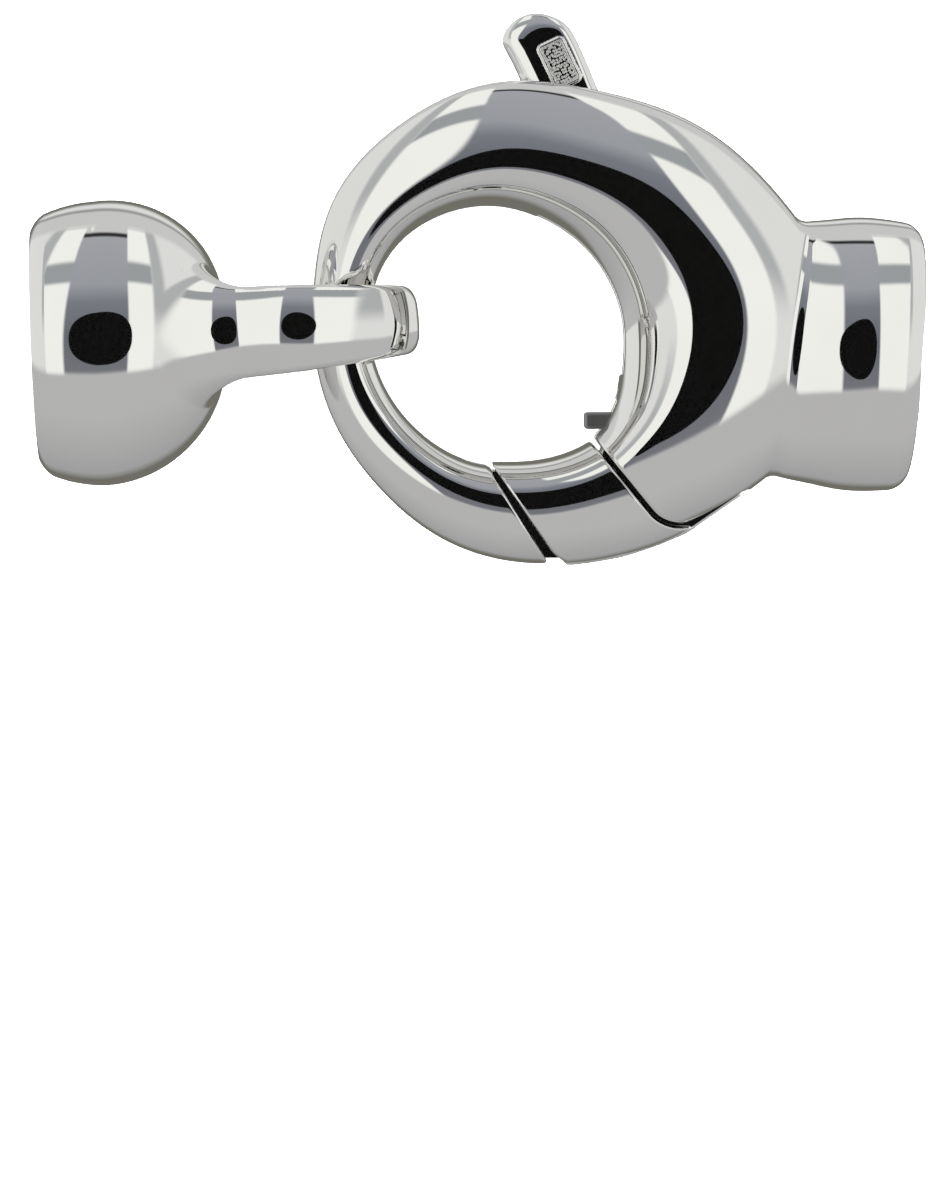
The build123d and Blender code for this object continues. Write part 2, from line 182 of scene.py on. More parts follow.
def skinOf(shape, low, high, grain):  # points and quads of the surface where shape is zero
    coarse = grain * 4
    low = np.array(low, float)
    count = np.ceil((np.array(high) - low) / coarse).astype(int) + 1
    grid = np.meshgrid(*[low[i] + np.arange(count[i]) * coarse for i in range(3)], indexing="ij")
    rough = shape(*[side.ravel() for side in grid]).reshape(grid[0].shape)
    fine = (count - 1) * 4 + 1
    nearestCoarse = [(np.arange(size) + 2) // 4 for size in fine]
    values = rough[np.ix_(*nearestCoarse)].astype(np.float32)
    i, j, k = np.nonzero(np.abs(values) < coarse * 1.7)
    points = low + np.stack([i, j, k], 1) * grain
    for start in range(0, len(points), 400000):
        part = slice(start, start + 400000)
        values[i[part], j[part], k[part]] = shape(*points[part].T)
    inside = values < 0
    total = np.zeros([size - 1 for size in fine], np.int8)
    corners = [(a, b, c) for a in (0, 1) for b in (0, 1) for c in (0, 1)]
    for a, b, c in corners:
        total += inside[a:fine[0] - 1 + a, b:fine[1] - 1 + b, c:fine[2] - 1 + c]
    cells = np.argwhere((total > 0) & (total < 8))
    number = np.full(total.shape, -1, np.int64)
    number[tuple(cells.T)] = np.arange(len(cells))
    at = np.stack([values[tuple((cells + corner).T)] for corner in corners], 1)
    middle = np.zeros((len(cells), 3))
    hits = np.zeros(len(cells))
    for a, first in enumerate(corners):
        for b, second in enumerate(corners):
            if b > a and sum(abs(p - q) for p, q in zip(first, second)) == 1:
                crossed = (at[:, a] < 0) != (at[:, b] < 0)
                share = at[crossed, a] / (at[crossed, a] - at[crossed, b])
                way = np.array(second) - np.array(first)
                middle[crossed] += np.array(first) + share[:, None] * way
                hits[crossed] += 1
    points = low + (cells + middle / hits[:, None]) * grain
    quads = []
    rounds = ((0, ((0, -1, -1), (0, 0, -1), (0, 0, 0), (0, -1, 0))),
              (1, ((-1, 0, -1), (-1, 0, 0), (0, 0, 0), (0, 0, -1))),
              (2, ((-1, -1, 0), (0, -1, 0), (0, 0, 0), (-1, 0, 0))))
    for axis, loop in rounds:
        first = [slice(1, -1)] * 3
        first[axis] = slice(0, -1)
        second = list(first)
        second[axis] = slice(1, None)
        here = inside[tuple(first)]
        crossed = np.argwhere(here != inside[tuple(second)])
        outward = here[tuple(crossed.T)]
        crossed = crossed + [0 if side == axis else 1 for side in range(3)]
        quad = np.stack([number[tuple((crossed + corner).T)] for corner in loop], 1)
        quad[~outward] = quad[~outward][:, ::-1]
        quads.append(quad)
    return points, np.concatenate(quads)


def buildPiece(name, shape, low, high, grain, most, place):
    # a dense skin, thinned where it is nearly flat, with its points and normals set on the surface
    points, quads = skinOf(shape, low, high, grain)
    points = settled(shape, points, 3)
    mesh = bpy.data.meshes.new(name)
    mesh.from_pydata(points.tolist(), [], quads.tolist())
    piece = bpy.data.objects.new(name, mesh)
    bpy.context.scene.collection.objects.link(piece)
    if len(quads) * 2 > most:
        thin = piece.modifiers.new("thin", "DECIMATE")
        thin.ratio = most / (len(quads) * 2)
        thinned = bpy.data.meshes.new_from_object(piece.evaluated_get(bpy.context.evaluated_depsgraph_get()))
        piece.modifiers.clear()
        piece.data = thinned
        bpy.data.meshes.remove(mesh)
        mesh = thinned
        mesh.name = name
    points = np.empty(len(mesh.vertices) * 3)
    mesh.vertices.foreach_get("co", points)
    points = settled(shape, points.reshape(-1, 3), 2)
    normals = slopeOf(shape, points)
    normals /= np.linalg.norm(normals, axis=1)[:, None]
    turn, shift = place
    placed = (points @ turn.T + shift) / 1000
    normals = normals @ turn.T
    mesh.vertices.foreach_set("co", placed.ravel())
    mesh.update()
    for face in mesh.polygons:
        face.use_smooth = True
    mesh.normals_split_custom_set_from_vertices(normals.tolist())
    mesh.update()
    print(name, "points", len(mesh.vertices), "faces", len(mesh.polygons))
    return piece


inRing = (np.eye(3), ringShift)
smallEdge = 0.05  # rounding of edges that are too fine to see

# Ring sections on rays from the hole's middle: angle, inner edge in hole radii, outer edge in ring
# radii, depth as a share, crest as a share of the way outwards, upright wall as a share of the
# depth, and how full the inner and the outer side are (2 is an ellipse)
bodySections = [
    (-56, 1.10, 1.03, 0.79, 0.32, 0.15, 2.1, 2.0), (-42, 1.09, 1.12, 0.905, 0.33, 0.12, 2.1, 2.0),
    (-28, 1.06, 1.25, 0.972, 0.35, 0.08, 2.1, 2.0), (-10, 1.00, 1.37, 1.00, 0.395, 0.05, 2.1, 2.0),
    (8, 0.98, 1.395, 1.00, 0.42, 0.04, 2.1, 2.0), (24, 0.97, 1.305, 1.00, 0.415, 0.08, 2.1, 1.97),
    (44, 0.97, 1.197, 1.00, 0.41, 0.25, 2.2, 1.87), (66, 0.98, 1.078, 0.955, 0.40, 0.42, 2.4, 1.76),
    (90, 1.01, 1.020, 0.865, 0.35, 0.52, 2.5, 1.72), (114, 1.03, 0.938, 0.75, 0.305, 0.50, 2.5, 1.74),
    (138, 1.04, 0.866, 0.635, 0.305, 0.36, 2.4, 1.82), (162, 1.01, 0.775, 0.53, 0.35, 0.20, 2.3, 1.95),
    (186, 0.97, 0.742, 0.465, 0.37, 0.12, 2.3, 2.0), (210, 0.95, 0.75, 0.46, 0.355, 0.10, 2.3, 2.0),
    (234, 0.96, 0.787, 0.53, 0.34, 0.10, 2.3, 2.0), (258, 1.00, 0.87, 0.61, 0.33, 0.10, 2.3, 2.0),
    (282, 1.03, 0.955, 0.66, 0.37, 0.10, 2.4, 2.0),
]
gateSections = [
    (-102, 1.00, 0.87, 0.54, 0.38, 0.10, 2.6, 2.0), (-88, 0.99, 0.925, 0.61, 0.39, 0.10, 2.6, 2.0),
    (-74, 1.02, 0.98, 0.66, 0.39, 0.10, 2.6, 2.0), (-60, 1.07, 1.045, 0.71, 0.39, 0.10, 2.6, 2.0),
    (-46, 1.12, 1.125, 0.745, 0.39, 0.10, 2.6, 2.0), (-33, 1.16, 1.20, 0.74, 0.40, 0.10, 2.6, 2.0),
]
bodyHalfDepth = 4.3


def tubeThrough(sections, firstAngle):
    table = smoothTable([row[0] for row in sections], [row[1:] for row in sections])

    def distance(x, y, z):
        rx, ry = x - holeMiddle[0], y - holeMiddle[1]
        angle = np.degrees(np.arctan2(ry, rx))
        angle = (angle - firstAngle) % 360 + firstAngle
        inner, outer, depth, crest, wall, innerFull, outerFull = table(angle)
        inner, outer, depth = inner * holeRadius, outer * ringRadius, depth * bodyHalfDepth
        crest = inner + (outer - inner) * crest
        wall = depth * wall
        away = np.hypot(rx, ry) - crest
        holeSide = away < 0
        rise = np.abs(z)
        return oval(away, np.where(holeSide, rise, np.maximum(rise - wall, 0)),
                    np.where(holeSide, crest - inner, outer - crest),
                    np.where(holeSide, depth, depth - wall), np.where(holeSide, innerFull, outerFull))
    return distance


# Clasp body
body = {
    # box is where the surface is looked for, grain the size of the cells, most the triangles kept
    "box": ((-10.4, -10.6, -4.5), (15.0, 10.6, 4.5)), "grain": 0.08, "most": 190000,
    "slotHalfWidth": 1.2, "slotLip": 0.12, "seamEdge": 0.13, "grooveFillet": 0.3,
    "cupMiddle": np.array([1.2638, -0.1511]) * ringRadius, "cupTurn": -3.4,
    "cupHalfHeight": 5.27, "cupHalfDepth": 4.3, "cupLength": 4.8, "cupCrest": 0.55,
    "cupStations": [(-0.30, 0.86, 0.62), (0.00, 0.933, 0.785), (0.24, 0.967, 0.915), (0.40, 0.99, 0.975),
                    (0.55, 1.0, 1.0), (0.70, 0.995, 0.975), (0.86, 0.98, 0.92), (1.02, 0.955, 0.86)],
    "cupRoot": 4.1,  # how far the cup goes on inside the ring
    "rimRound": 0.75, "rimReach": 0.08, "socketRadius": 3.1, "socketDepth": 2.3, "wellRadius": 1.9,
    "wellDepth": 1.3, "barRadius": 0.4, "barDrop": 0.6, "socketLip": 0.25,
    "pinRoomRadius": 0.76, "pinRoomHalf": 3.21,
}
seams = {
    "belowAngle": 38,  # the ring is open only below a line at this angle through the hole's middle
    "clawAt": np.array([-0.2426, -0.5926]) * ringRadius, "clawAngle": -54.9,
    "clawGap": 0.12, "clawFlare": 3.4,
    "tipFrom": 4.25, "tipCut": 13,  # the lever's outer corner is cut back, as it comes nearer while it opens
    "bodyAt": np.array([0.2511, -0.5766]) * ringRadius, "bodyAngle": -50.9,
    "bodyGap": 0.18, "hemAt": np.array([5.0, -7.93]), "hemAngle": 2.0, "hemCorner": 0.6, "hemGap": 0.13,
    "hemLine": ((5.3, -7.9), (5.9, -7.62), (7.45, -6.7)), "hemLineWidth": 0.1, "hemLineDepth": 0.07,
    "tongue": 0.45, "tongueWidth": 1.0, "tongueInset": 0.3, "tongueRoot": 1.0,
    "tongueRoom": 0.66, "tongueRoomWidth": 1.24, "tongueWall": 0.12, "tongueWallFrom": 1.35,  # in hole radii
    "tongueEdge": 0.06, "hemLineEdge": 0.04,
}
lever = {
    "box": ((-4.6, -10.8, -3.9), (9.4, 12.2, 3.9)), "grain": 0.055, "most": 130000,
    "halfWidth": 1.05, "hubRadius": 1.5, "clearance": 0.3, "openAngle": 16.0,
    "spineInset": 0.35, "spineWidth": 2.2, "spineFrom": -14, "spineTo": 66, "endRoom": (3, 4),
    "freeReach": 0.6,  # how far inwards the slot's room goes on, in hole radii
    "tangAngle": 185, "tangRise": 0.55, "tabWidth": 2.65, "tabLean": 25.5, "tabTop": 11.73, "tabX": -0.46,
    "edge": 0.13, "plateEdge": 0.12, "spineEnd": 0.2, "hubFillet": 0.3, "tangFillet": 0.2, "gateFillet": 0.08,
    "stemFillet": 0.1, "stemFrom": 5.5, "pinHole": 0.78, "seatAir": 0.05,
}
spring = {"tip": np.array([0.1415, -0.4223]) * ringRadius, "height": 0.65, "width": 1.0, "seat": 0.7,
          "air": 0.12, "edge": 0.14, "grain": 0.04, "most": 12000}

spineInner = holeRadius + lever["spineInset"]
tabAxis = heading(90 + lever["tabLean"])
tabMiddle = np.array([lever["tabX"], lever["tabTop"] - lever["tabWidth"] / 2])
tabRoot = tabMiddle - tabAxis * (lever["tabTop"] - holeMiddle[1] - spineInner - lever["spineWidth"] / 2)
tangEdge = [fromHole(row[0], row[2] * ringRadius) for row in gateSections[2:]]
tangCorner = seams["bodyAt"] + np.array([-lever["clearance"], lever["tangRise"]])


def opened(point):  # where a point of the lever is when the lever is open
    turn = radians(-lever["openAngle"])
    x, y = point - pivot
    return pivot + np.array([x * cos(turn) - y * sin(turn), x * sin(turn) + y * cos(turn)])


def slotOutline():  # room that the lever sweeps in the ring, seen from the front
    clearance = lever["clearance"]
    hub = lever["hubRadius"] + clearance
    reach = spineInner + lever["spineWidth"] + clearance
    foot, top = lever["spineFrom"] - lever["endRoom"][0], lever["spineTo"] + lever["endRoom"][1]
    free = lever["freeReach"] * holeRadius
    side = heading(lever["tabLean"]) * (lever["tabWidth"] / 2 + clearance)
    far = 2 * ringRadius
    spine = [fromHole(foot, free), fromHole(top, free), fromHole(top, reach)]
    spine += [opened(fromHole(angle, reach)) for angle in np.linspace(top, foot, 20)]
    stem = [tabRoot - side - tabAxis, tabRoot - side + tabAxis * far,
            opened(tabRoot + side + tabAxis * far), opened(tabRoot + side - tabAxis)]
    roomTop = pivot + np.array([hub, 0])
    roomFoot = tangEdge[-1] + np.array([clearance, 0])
    tang = [pivot + heading(lever["tangAngle"] - lever["openAngle"]) * hub,
            opened(tangCorner) + np.array([-clearance, clearance]),
            fromHole(-60, free), seams["bodyAt"] + heading(seams["bodyAngle"] - 20) * holeRadius,
            seams["bodyAt"] + heading(seams["bodyAngle"]) * far, 2 * roomFoot - roomTop, roomTop]
    return [spine, stem, tang], hub


socketEdges = {"corner": 0.2, "wellLip": 0.12, "barFillet": 0.08, "barRoot": 0.3}
slotParts, hubRoom = slotOutline()
bodyTube = tubeThrough(bodySections, -68)
cupTable = smoothTable([row[0] for row in body["cupStations"]], [row[1:] for row in body["cupStations"]])


def bodyCorner(x, y):  # negative on the ring's side of the seam beside the cup, which turns a corner
    side = halfPlane(x, y, seams["bodyAt"], seams["bodyAngle"])
    hem = halfPlane(x, y, seams["hemAt"], seams["hemAngle"])
    return shared(side, hem, seams["hemCorner"])


def slotShape(x, y):
    distance = np.hypot(x - pivot[0], y - pivot[1]) - hubRoom
    for outline in slotParts:
        distance = np.minimum(distance, flatShape(outline, x, y))
    return distance


def socketShape(along, y, z, size, rim):  # a socket, its well and the bar for the thread
    around = np.hypot(y, z)
    corner = socketEdges["corner"]
    socket = shared(around - size["socketRadius"], rim - size["socketDepth"] - along, corner)
    wellDepth = size["socketDepth"] + size["wellDepth"]
    well = shared(around - size["wellRadius"], rim - wellDepth - along, corner)
    bar = np.hypot(along - rim + size["socketDepth"] + size["barDrop"], z) - size["barRadius"]
    bar = shared(bar, around - size["wellRadius"] - socketEdges["barRoot"], smallEdge)
    return joined(-joined(socket, well, socketEdges["wellLip"]), bar, socketEdges["barFillet"])


def claspBodyShape(x, y, z):
    ring = bodyTube(x, y, z)
    # cup on the right
    way = heading(body["cupTurn"])
    cx, cy = x - body["cupMiddle"][0], y - body["cupMiddle"][1]
    reach = cx * way[0] + cy * way[1]
    across = cy * way[0] - cx * way[1]
    height, depth = cupTable(reach / body["cupLength"] + body["cupCrest"])
    cup = oval(across, z, height * body["cupHalfHeight"], depth * body["cupHalfDepth"])
    rim = (1 - body["cupCrest"]) * body["cupLength"] + body["rimReach"]
    cup = shared(cup, reach - rim, body["rimRound"])
    cup = np.maximum(cup, -reach - body["cupRoot"])
    solid = joined(ring, cup, body["grooveFillet"])
    solid = shared(solid, socketShape(reach, across, z, body, rim), body["socketLip"])
    # opening for the gate
    faceAt = seams["clawAt"] + heading(seams["clawAngle"] - 90) * seams["clawGap"]
    claw = halfPlane(x, y, faceAt, seams["clawAngle"] - seams["clawFlare"])
    above = halfPlane(x, y, holeMiddle, seams["belowAngle"])
    opening = np.maximum(np.maximum(claw, -bodyCorner(x, y)), -above)
    solid = shared(solid, -opening, body["seamEdge"])
    # room for the lever's tongue in the claw
    room = np.maximum(claw - seams["tongueRoom"], np.abs(z) - seams["tongueRoomWidth"] / 2)
    room = np.maximum(np.maximum(room, -claw - seams["tongueRoot"]), -above)
    outerSide = np.hypot(x - holeMiddle[0], y - holeMiddle[1]) > seams["tongueWallFrom"] * holeRadius
    room = np.maximum(room, np.where(outerSide, ring + seams["tongueWall"], -1.0))  # closed on the outside
    solid = shared(solid, -room, seams["tongueEdge"])
    # the seam runs on as a fine line below the cup
    line = np.minimum(stroke(x, y, *seams["hemLine"][:2]), stroke(x, y, *seams["hemLine"][1:]))
    line = np.maximum(line - seams["hemLineWidth"] / 2, -ring - seams["hemLineDepth"])
    solid = shared(solid, -line, seams["hemLineEdge"])
    # slot for the lever, with the spring's room and the pin's hole
    slot = shared(slotShape(x, y), np.abs(z) - body["slotHalfWidth"], smallEdge)
    springRoom = flatShape(springOutline, x, y)
    springRoom = shared(springRoom, np.abs(z) - spring["width"] / 2 - spring["air"], smallEdge)
    pinRoom = np.hypot(x - pivot[0], y - pivot[1]) - body["pinRoomRadius"]
    pinRoom = np.maximum(pinRoom, np.abs(z) - body["pinRoomHalf"])
    solid = shared(solid, -np.minimum(slot, springRoom), body["slotLip"])
    return np.maximum(solid, -pinRoom)


springLow = spring["tip"] - np.array([0, spring["height"] / 2 + spring["air"]])
springHigh = spring["tip"] + np.array([0, spring["height"] / 2 + spring["air"]])
springOutline = [np.array([pivot[0], springLow[1]]), springLow, opened(springHigh),
                 opened(np.array([pivot[0], springHigh[1]]))]

claspBody = buildPiece("claspBodyCasting", claspBodyShape, *body["box"],
                       body["grain"], body["most"], inRing)


# Trigger lever
gateTube = tubeThrough(gateSections, -180)
tab = {
    # outline of the tab in its own frame: up along the tab and right of it, from its middle
    "turns": [(-4.6, 1.42), (-3.0, 1.42), (-1.6, 1.43), (-0.05, 1.44), (0.7, 1.14), (1.13, 0.68),
              (1.33, 0.13), (1.27, -0.5), (0.87, -1.07), (0.0, -1.1), (-1.6, -1.09), (-3.0, -1.09),
              (-4.6, -1.09), (-5.2, 0.16)],
    "drop": 0.09, "left": 0.05,
    "taper": 4.5, "taperFrom": -1.9,  # beyond this place its face falls by these degrees
    "rimSides": (-0.9, 1.0), "rimTip": 0.25,
    "rim": (0.95, 0.42), "rimDrop": 0.496,  # how wide its rim is on the left and on the right, and how deep
    "frameMiddle": (-0.92, 0.47), "frameHalf": (0.92, 0.53), "frameBand": 0.12, "frameRise": 0.10,
    "frameCorner": 0.18, "frameFillet": 0.06, "pocket": 0.06, "pocketEdge": 0.04,
}


def tabFrame(x, y):
    dx, dy = x - tabMiddle[0], y - tabMiddle[1]
    up = dx * tabAxis[0] + dy * tabAxis[1] + tab["drop"]
    right = dx * tabAxis[1] - dy * tabAxis[0] + tab["left"]
    return up, right


def tabFace(up):
    return lever["halfWidth"] - sin(radians(tab["taper"])) * np.maximum(up - tab["taperFrom"], 0)


def tabShape(x, y, z):
    up, right = tabFrame(x, y)
    outline = curveShape(tab["turns"], up, right)
    face = tabFace(up)
    rise = np.abs(z) - face
    # the rim is wider on the left than on the right, and a little wider at the tip
    left, far = tab["rimSides"]
    share = np.clip((right - left) / (far - left) - tab["rimTip"] * np.clip(up, 0, 1), 0, 1)
    share = share * share * (3 - 2 * share)
    wide = tab["rim"][0] + (tab["rim"][1] - tab["rim"][0]) * share
    inward = np.minimum((outline + wide) / wide, 1.5)
    over = np.maximum(rise + tab["rimDrop"], 0) / tab["rimDrop"]
    rounded = (np.hypot(np.maximum(inward, 0), over) - 1) * np.minimum(wide, tab["rimDrop"])
    plate = np.where((inward > 0) & (over > 0), rounded, np.maximum(outline, rise))
    # raised frame round a sunk panel, on the front
    fx = np.abs(up - tab["frameMiddle"][0]) - tab["frameHalf"][0]
    fy = np.abs(right - tab["frameMiddle"][1]) - tab["frameHalf"][1]
    panel = shared(fx, fy, tab["frameCorner"])
    band = shared(panel, z - face - tab["frameRise"], smallEdge)
    band = np.maximum(band, -z)
    pocket = shared(panel + tab["frameBand"], -(z - face + tab["pocket"]), smallEdge)
    return shared(joined(plate, band, tab["frameFillet"]), -pocket, tab["pocketEdge"])


def leverShape(x, y, z):
    bar = gateTube(x, y, z)
    clawSide = halfPlane(x, y, seams["clawAt"], seams["clawAngle"])
    tipAt = seams["clawAt"] + heading(seams["clawAngle"]) * seams["tipFrom"]
    clawSide = np.maximum(clawSide, halfPlane(x, y, tipAt, seams["clawAngle"] + seams["tipCut"]))
    side = halfPlane(x, y, seams["bodyAt"], seams["bodyAngle"]) - seams["bodyGap"]
    hem = halfPlane(x, y, seams["hemAt"], seams["hemAngle"]) - seams["hemGap"]
    bodySide = -shared(side, hem, seams["hemCorner"])
    above = halfPlane(x, y, holeMiddle, seams["belowAngle"])
    gate = shared(shared(bar, clawSide, lever["edge"]), bodySide, lever["edge"])
    gate = np.maximum(gate, -above)
    # plate in the slot: hub, spine and tang
    rx, ry = x - holeMiddle[0], y - holeMiddle[1]
    reach = np.hypot(rx, ry)
    hub = np.hypot(x - pivot[0], y - pivot[1]) - lever["hubRadius"]
    middle = spineInner + lever["spineWidth"] / 2
    spine = np.abs(reach - middle) - lever["spineWidth"] / 2
    low, high = heading(lever["spineFrom"]), heading(lever["spineTo"])
    spine = shared(spine, -(ry * low[0] - rx * low[1]), lever["spineEnd"])
    spine = shared(spine, ry * high[0] - rx * high[1], lever["spineEnd"])
    outline = joined(hub, spine, lever["hubFillet"])
    outline = joined(outline, flatShape(tangOutline, x, y), lever["tangFillet"])
    plate = shared(outline, np.abs(z) - lever["halfWidth"], lever["plateEdge"])
    solid = joined(gate, plate, lever["gateFillet"])
    solid = shared(solid, clawSide, smallEdge)
    # tongue that closes the seam from inside
    tongue = np.maximum(bar + seams["tongueInset"], clawSide - seams["tongue"])
    tongue = np.maximum(np.maximum(tongue, np.abs(z) - seams["tongueWidth"] / 2),
                        -clawSide - seams["tongueRoot"])
    solid = joined(solid, np.maximum(tongue, -above), smallEdge)
    far = y > lever["stemFrom"]
    if far.any():
        stem = np.full(x.shape, 9.0)
        stem[far] = tabShape(x[far], y[far], z[far])
        solid = joined(solid, stem, lever["stemFillet"])
    pinRoom = np.hypot(x - pivot[0], y - pivot[1]) - lever["pinHole"]
    sx = np.abs(x - springMiddle[0]) - springLength / 2
    sy = np.abs(y - springMiddle[1]) - spring["height"] / 2
    springSeat = np.maximum(np.maximum(sx, sy), np.abs(z) - spring["width"] / 2) - lever["seatAir"]
    return np.maximum(solid, -np.minimum(pinRoom, springSeat))


springEnd = pivot[0] - lever["hubRadius"] + spring["seat"]
springLength = springEnd - spring["tip"][0]
springMiddle = np.array([(springEnd + spring["tip"][0]) / 2, spring["tip"][1]])
tangOutline = [tuple(point) for point in tangEdge]
tangOutline += [tuple(pivot + np.array([lever["hubRadius"], 0])),
                tuple(pivot + heading(lever["tangAngle"]) * lever["hubRadius"]), tuple(tangCorner)]

triggerLever = buildPiece("triggerLever", leverShape, *lever["box"],
                          lever["grain"], lever["most"], inRing)


def springShape(x, y, z):
    sx = np.abs(x - springMiddle[0]) - springLength / 2
    sy = np.abs(y - springMiddle[1]) - spring["height"] / 2
    return shared(shared(sx, sy, spring["edge"]), np.abs(z) - spring["width"] / 2, spring["edge"])


springAt = np.array([*springMiddle, 0])
springReach = np.array([2, 1, 1])
springLeg = buildPiece("springLeg", springShape, springAt - springReach, springAt + springReach,
                       spring["grain"], spring["most"], inRing)


# End cap
cap = {
    "box": ((-3.0, -5.9, -5.9), (12.9, 5.9, 5.9)), "grain": 0.075, "most": 190000,
    "cupRadius": 5.44, "wallArc": 4.62, "mouth": 2.55, "rimRound": 0.75, "belly": 0.25, "bellyLong": 0.9,
    "lean": 0.06,  # its round end leans upwards
    "cupTurn": -2.4,  # the cup stands a little askew on its bail
    "socketRadius": 4.2, "socketDepth": 2.4, "wellRadius": 2.4, "wellDepth": 1.3,
    "barRadius": 0.4, "barDrop": 0.6,
    "thickness": 0.9, "end": 12.33, "corner": 1.6, "innerCorner": 0.96, "endCorner": 0.7, "endCrown": 0.6,
    "edge": 0.22, "crown": 2.8, "root": 1.6,
    "bailFrom": 0.8, "bailEdge": 0.12, "socketLip": 0.2,
    "profile": [(0.5, 2.1), (2.0, 3.05), (3.2, 3.58), (4.1, 3.80), (5.0, 4.05), (6.1, 4.50), (6.9, 4.80),
                (7.6, 4.90), (8.3, 4.81), (9.0, 4.61), (9.8, 4.29), (10.6, 3.91), (11.3, 3.55), (12.1, 3.08),
                (13.0, 2.5)],
    "widths": [(0.0, 1.83), (2.5, 1.81), (5.0, 1.74), (7.615, 1.62), (10.0, 1.45), (12.35, 1.25)],
}
capWidth = smoothTable([row[0] for row in cap["widths"]], [row[1:] for row in cap["widths"]])
bailProfile = smoothTable([row[0] for row in cap["profile"]], [row[1:] for row in cap["profile"]])


def endCapShape(x, y, z):
    # cup, turned a little against the bail
    turn = radians(cap["cupTurn"])
    cx, cy = x * cos(turn) + y * sin(turn), y * cos(turn) - x * sin(turn)
    along = cx - cap["belly"]
    along = np.where(along < 0, along * cap["bellyLong"], along)
    leaning = np.hypot(cy - cap["lean"] * np.maximum(cx, 0), z)
    dome = np.hypot(along, np.maximum(leaning - (cap["cupRadius"] - cap["wallArc"]), 0)) - cap["wallArc"]
    dome = shared(dome, -cx - cap["mouth"], cap["rimRound"])
    # bail: a loop with a crowned outside, narrowing to its far end
    rise = np.abs(z)
    small = 1e-3
    height = bailProfile(x)[0]
    slope = (bailProfile(x + small)[0] - bailProfile(x - small)[0]) / (2 * small)
    level = (rise - height) / np.sqrt(1 + slope ** 2)
    crown = cap["crown"] - np.sqrt(np.maximum(cap["crown"] ** 2 - y ** 2, 0.2))
    outer = shared(level + crown, x - cap["end"] + crown * cap["endCrown"], cap["corner"])
    inner = shared(level + cap["thickness"], x - cap["end"] + cap["thickness"], cap["innerCorner"])
    loop = shared(outer, -inner, cap["bailEdge"])
    width = np.abs(y) - capWidth(x)[0]
    strip = shared(loop, shared(width, x - cap["end"], cap["endCorner"]), cap["edge"])
    strip = np.maximum(strip, cap["bailFrom"] - x)
    solid = joined(dome, strip, cap["root"])
    return shared(solid, socketShape(-cx, cy, z, cap, cap["mouth"]), cap["socketLip"])


mouth = np.array(mounts["loose_cup"]["pos_m"]) * 1000
capX = -np.array(mounts["loose_cup"]["axis"])
capX /= np.linalg.norm(capX)
capY = np.cross([0, 0, 1], capX)
capY /= np.linalg.norm(capY)
capTurn = np.stack([capX, capY, np.cross(capX, capY)], 1)
inCap = (capTurn, mouth + capX * cap["mouth"])
looseCup = buildPiece("looseCupAndBail", endCapShape, *cap["box"],
                      cap["grain"], cap["most"], inCap)


# Materials
def addNode(tree, kind, at=(0, 0), inputs=(), **settings):  # inputs are values, or the sockets that feed them
    node = tree.nodes.new(kind)
    node.location = at
    for key, value in settings.items():
        setattr(node, key, value)
    for key, value in dict(inputs).items():
        if isinstance(value, bpy.types.NodeSocket):
            tree.links.new(value, node.inputs[key])
        else:
            node.inputs[key].default_value = value
    return node


polish = {
    "cloudScale": 330, "swellScale": 210, "lineScale": (26000, 900, 26000), "lineTurns": (0.4, 1.5, 2.6),
    "lineFrom": 0.68, "lineTo": 0.80, "lineDepth": 0.012, "dent": 0.00002,
}


def polishMarks():  # faint polishing lines, small dents and cloudiness, shared by the metals
    group = bpy.data.node_groups.new("polishMarks", "ShaderNodeTree")
    for name, value in (("Scale", 1.0), ("Base", 0.04), ("Spread", 0.03)):
        group.interface.new_socket(name, in_out="INPUT", socket_type="NodeSocketFloat").default_value = value
    for name in ("Roughness", "Height", "Tint"):
        group.interface.new_socket(name, in_out="OUTPUT", socket_type="NodeSocketFloat")

    def maths(at, operation, *values):
        return addNode(group, "ShaderNodeMath", at, dict(enumerate(values)), operation=operation).outputs[0]

    def noise(at, place, scale, detail):
        inputs = {"Vector": place, "Scale": scale, "Detail": detail}
        return addNode(group, "ShaderNodeTexNoise", at, inputs).outputs[0]

    given = addNode(group, "NodeGroupInput", (-1000, 0)).outputs
    out = addNode(group, "NodeGroupOutput", (900, 0))
    place = addNode(group, "ShaderNodeTexCoord", (-1000, 300)).outputs["Object"]
    scaled = addNode(group, "ShaderNodeVectorMath", (-800, 200), {0: place, "Scale": given["Scale"]},
                     operation="SCALE").outputs[0]
    cloud = noise((-500, 300), scaled, polish["cloudScale"], 3)
    lines = []
    for i, turn in enumerate(polish["lineTurns"]):  # fine lines in three directions
        level = -100 - 260 * i
        inputs = {"Vector": scaled, "Rotation": (turn * 0.7, turn * 0.3, turn), "Scale": polish["lineScale"]}
        turned = addNode(group, "ShaderNodeMapping", (-500, level), inputs).outputs["Vector"]
        inputs = {"Value": noise((-300, level), turned, 1.0, 1),
                  "From Min": polish["lineFrom"], "From Max": polish["lineTo"]}
        lines.append(addNode(group, "ShaderNodeMapRange", (-100, level), inputs).outputs[0])
    first = maths((100, -150), "MAXIMUM", lines[0], lines[1])
    second = maths((280, -250), "MAXIMUM", first, lines[2])
    spreadCloud = maths((280, 200), "MULTIPLY", cloud, given["Spread"])
    spreadLines = maths((460, -100), "MULTIPLY_ADD", second, given["Spread"], spreadCloud)
    rough = maths((640, 0), "ADD", spreadLines, given["Base"])
    swell = noise((-500, 600), scaled, polish["swellScale"], 0)  # slow swell left by polishing
    height = maths((640, -300), "MULTIPLY_ADD", second, -polish["lineDepth"], swell)
    for name, value in (("Roughness", rough), ("Height", height), ("Tint", cloud)):
        group.links.new(value, out.inputs[name])
    return group


